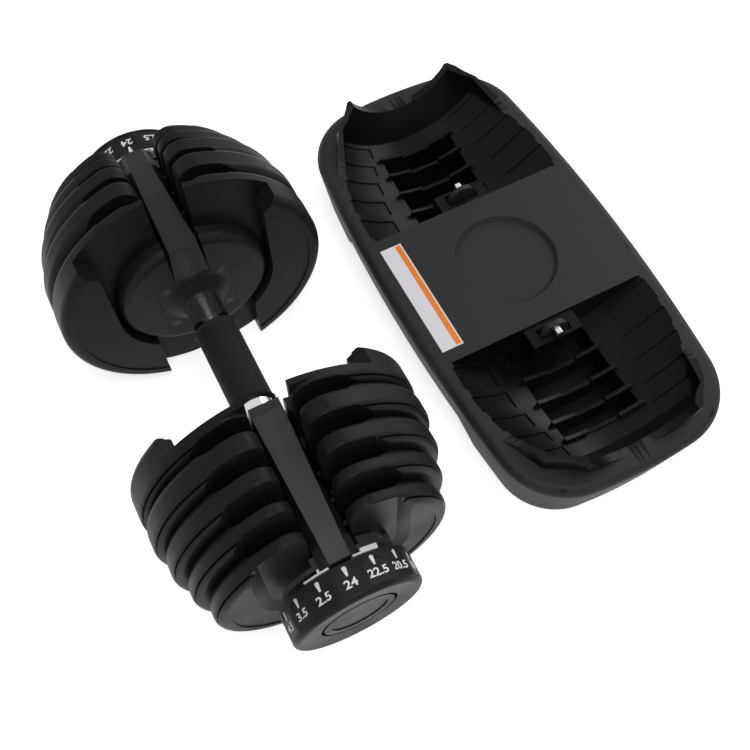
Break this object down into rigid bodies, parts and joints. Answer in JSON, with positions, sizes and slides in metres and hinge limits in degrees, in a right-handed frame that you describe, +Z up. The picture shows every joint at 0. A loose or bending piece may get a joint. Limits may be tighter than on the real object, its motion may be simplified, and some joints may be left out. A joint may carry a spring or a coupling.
{
  "type": "adjustable dumbbell",
  "caption": "Adjustable dumbbell with numbered selector dials at both ends of stacked round plates, beside its moulded storage tray.",
  "frame": {"origin": "centre of the underside of the box round the dumbbell and the tray, on the floor", "axes": "+X along the handle, towards the end that is nearest in the picture; +Y from the dumbbell to the tray; +Z up"},
  "size_m": [0.4102, 0.4381, 0.1996],
  "materials": {
    "coated_iron": "satin black powder coat",
    "satin_steel": "satin black",
    "zinc_steel": "zinc plated",
    "chrome_steel": "polished",
    "black_rubber": "matt",
    "hub_plastic": "moulded satin black",
    "dial_plastic": "moulded satin black with printed numbers",
    "disc_plastic": "moulded black",
    "white_plastic": "moulded white",
    "tray_plastic": "moulded black with a fine texture",
    "label_paper": "plain sticker with a colour band"
  },
  "bodies": {
    "tray": {"left_latch_pin": "zinc_steel", "right_latch_pin": "zinc_steel", "tray": "tray_plastic", "tray_feet": "black_rubber", "tray_label": "label_paper"},
    "handle": {"axle": "zinc_steel", "handle_tube": "chrome_steel", "left_axle_nut": "zinc_steel", "left_bridge": "satin_steel", "left_hub": "hub_plastic", "left_hub_cover": "hub_plastic", "left_hub_screws": "zinc_steel", "left_indicator": "white_plastic", "left_lock_spring": "zinc_steel", "left_plate_1": "coated_iron", "left_plate_2": "coated_iron", "left_plate_3": "coated_iron", "left_plate_4": "coated_iron", "left_plate_5": "coated_iron", "right_axle_nut": "zinc_steel", "right_bridge": "satin_steel", "right_hub": "hub_plastic", "right_hub_cover": "hub_plastic", "right_hub_screws": "zinc_steel", "right_indicator": "white_plastic", "right_lock_spring": "zinc_steel", "right_plate_1": "coated_iron", "right_plate_2": "coated_iron", "right_plate_3": "coated_iron", "right_plate_4": "coated_iron", "right_plate_5": "coated_iron", "rubber_grip": "black_rubber"},
    "left_dial_unit": {"left_dial": "dial_plastic", "left_dial_cap": "dial_plastic", "left_lock_wheel": "disc_plastic", "left_selector_disc_1": "disc_plastic", "left_selector_disc_2": "disc_plastic", "left_selector_disc_3": "disc_plastic", "left_selector_disc_4": "disc_plastic", "left_selector_disc_5": "disc_plastic", "left_selector_sleeve": "disc_plastic"},
    "left_lock": {"left_lock_pin": "zinc_steel"},
    "left_latch_unit": {"left_latch": "tray_plastic", "left_latch_stud": "zinc_steel"},
    "right_dial_unit": {"right_dial": "dial_plastic", "right_dial_cap": "dial_plastic", "right_lock_wheel": "disc_plastic", "right_selector_disc_1": "disc_plastic", "right_selector_disc_2": "disc_plastic", "right_selector_disc_3": "disc_plastic", "right_selector_disc_4": "disc_plastic", "right_selector_disc_5": "disc_plastic", "right_selector_sleeve": "disc_plastic"},
    "right_lock": {"right_lock_pin": "zinc_steel"},
    "right_latch_unit": {"right_latch": "tray_plastic", "right_latch_stud": "zinc_steel"}
  },
  "joints": [
    {"name": "dumbbell_lift", "type": "slide", "parent": "tray", "child": "handle", "axis": [0, 0, 1], "range_m": [0, 0.3]},
    {"name": "left_dial_turn", "type": "hinge", "parent": "handle", "child": "left_dial_unit", "pos_m": [-0.17392, -0.11808, 0.092], "axis": [-1, 0, 0], "continuous": true},
    {"name": "left_lock_push", "type": "slide", "parent": "handle", "child": "left_lock", "axis": [0, 0, 1], "range_m": [0, 0.005], "stiffness_N_per_m": 600, "springref_m": -0.002, "deforming": ["left_lock_spring"]},
    {"name": "left_latch_tilt", "type": "hinge", "parent": "tray", "child": "left_latch_unit", "pos_m": [-0.07592, 0.11792, 0.0475], "axis": [0, 1, 0], "range_deg": [-10, 10], "stiffness_Nm_per_rad": 0.05},
    {"name": "right_dial_turn", "type": "hinge", "parent": "handle", "child": "right_dial_unit", "pos_m": [0.18108, -0.11808, 0.092], "axis": [1, 0, 0], "continuous": true},
    {"name": "right_lock_push", "type": "slide", "parent": "handle", "child": "right_lock", "axis": [0, 0, 1], "range_m": [0, 0.005], "stiffness_N_per_m": 600, "springref_m": -0.002, "deforming": ["right_lock_spring"]},
    {"name": "right_latch_tilt", "type": "hinge", "parent": "tray", "child": "right_latch_unit", "pos_m": [0.06908, 0.11792, 0.0475], "axis": [0, 1, 0], "range_deg": [-10, 10], "stiffness_Nm_per_rad": 0.05}
  ]
}
